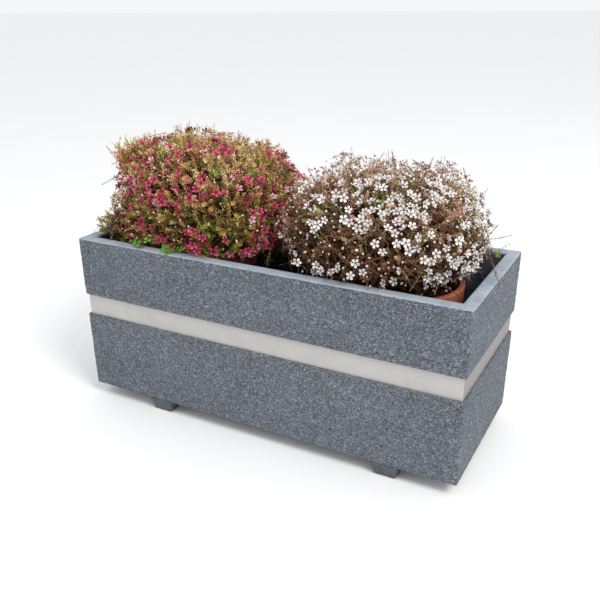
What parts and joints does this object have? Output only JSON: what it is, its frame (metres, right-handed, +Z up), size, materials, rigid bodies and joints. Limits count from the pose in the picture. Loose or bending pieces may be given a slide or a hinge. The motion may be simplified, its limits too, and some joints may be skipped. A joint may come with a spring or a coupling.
{
  "type": "planter box",
  "caption": "Long precast concrete planter box with exposed aggregate faces, a light band in a groove, short feet and drains, holding lift-out potted shrubs.",
  "frame": {"origin": "on the ground, below the centre of the box", "axes": "+X along the box, towards the right when it is seen from the front; +Y from the front face to the back face; +Z up"},
  "size_m": [1, 0.4, 0.684],
  "materials": {
    "aggregate_concrete": "matte",
    "band": "matte",
    "foot_concrete": "matte",
    "sleeve_plastic": "satin",
    "sealing_coat": "satin",
    "drainage_stone": "matte",
    "rebar_steel": "matte",
    "terracotta": "matte",
    "compost": "matte",
    "stem_bark": "matte",
    "left_foliage": "matte",
    "right_foliage": "matte",
    "pink_petals": "matte",
    "white_petals": "matte"
  },
  "bodies": {
    "box": {"trough_floor": "aggregate_concrete", "trough_front_wall": "aggregate_concrete", "trough_back_wall": "aggregate_concrete", "trough_left_wall": "aggregate_concrete", "trough_right_wall": "aggregate_concrete", "band_front": "band", "band_back": "band", "band_left": "band", "band_right": "band", "foot_front_left": "foot_concrete", "foot_front_right": "foot_concrete", "foot_back_left": "foot_concrete", "foot_back_right": "foot_concrete", "drain_sleeve_left": "sleeve_plastic", "drain_sleeve_right": "sleeve_plastic", "inner_coating": "sealing_coat", "drainage_bed": "drainage_stone", "rebar_top_ring": "rebar_steel", "rebar_middle_ring": "rebar_steel", "rebar_bottom_ring": "rebar_steel", "rebar_hoops": "rebar_steel"},
    "left_plant": {"left_pot": "terracotta", "left_soil": "compost", "left_stems": "stem_bark", "left_foliage": "left_foliage"},
    "right_plant": {"right_pot": "terracotta", "right_soil": "compost", "right_stems": "stem_bark", "right_foliage": "right_foliage"}
  },
  "joints": [
    {"name": "left_plant_lift", "type": "slide", "parent": "box", "child": "left_plant", "axis": [0, 0, 1], "range_m": [0, 0.3]},
    {"name": "right_plant_lift", "type": "slide", "parent": "box", "child": "right_plant", "axis": [0, 0, 1], "range_m": [0, 0.3]}
  ]
}
